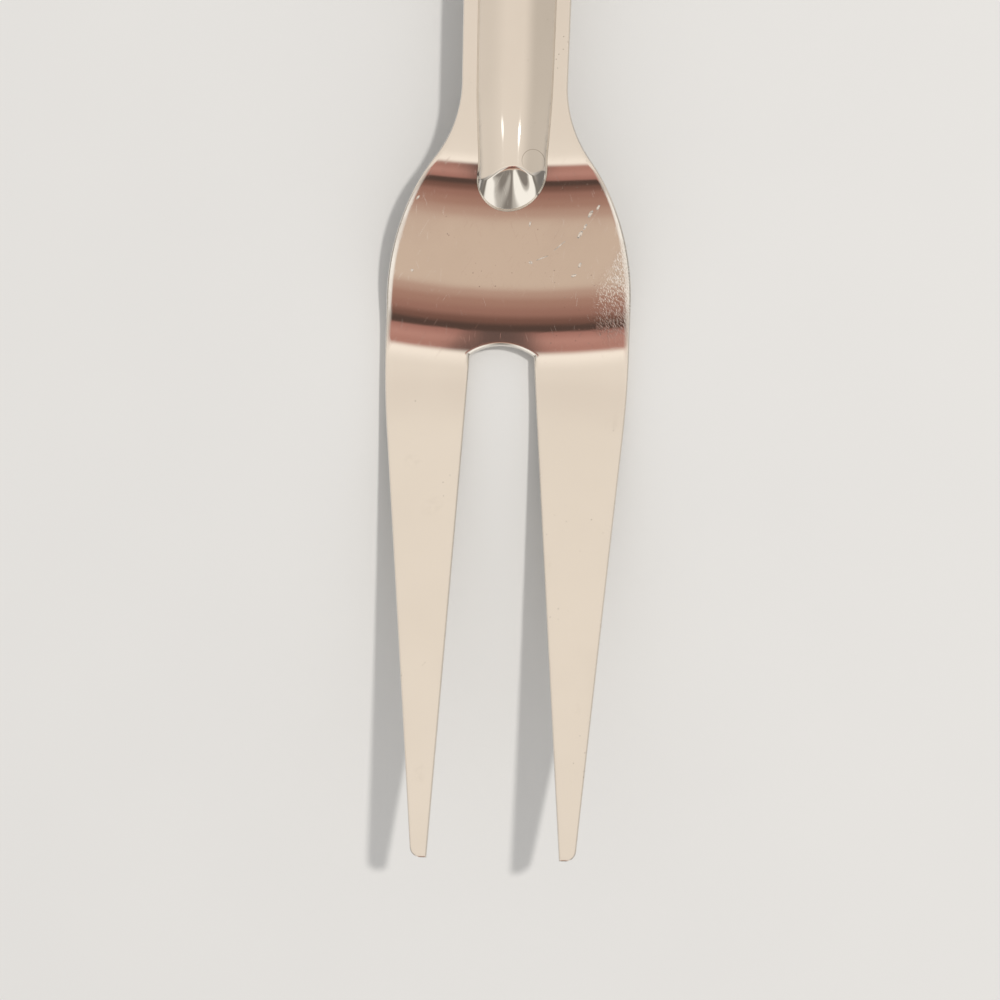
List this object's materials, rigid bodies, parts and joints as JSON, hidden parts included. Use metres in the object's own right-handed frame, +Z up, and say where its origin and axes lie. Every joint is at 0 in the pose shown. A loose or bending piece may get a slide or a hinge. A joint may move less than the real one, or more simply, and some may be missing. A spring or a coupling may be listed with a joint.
{
  "type": "carving fork",
  "caption": "Polished steel carving fork with tapered tines, rounded shoulders and a full-tang handle between domed shells, for holding and serving meat.",
  "frame": {"origin": "middle of the fork's length and width, at the level of the table it lies on", "axes": "+Y along the handle towards the butt, with the tines towards -Y; +Z up, out of the fork's hollow front; +X to the right seen from the front with the handle up"},
  "size_m": [0.026, 0.2248, 0.0147],
  "materials": {
    "blade_steel": "polished",
    "shell_steel": "polished",
    "filler_resin": "matte"
  },
  "bodies": {
    "root": {"fork_blade": "blade_steel", "front_handle_shell": "shell_steel", "back_handle_shell": "shell_steel", "handle_filler": "filler_resin"}
  },
  "joints": []
}
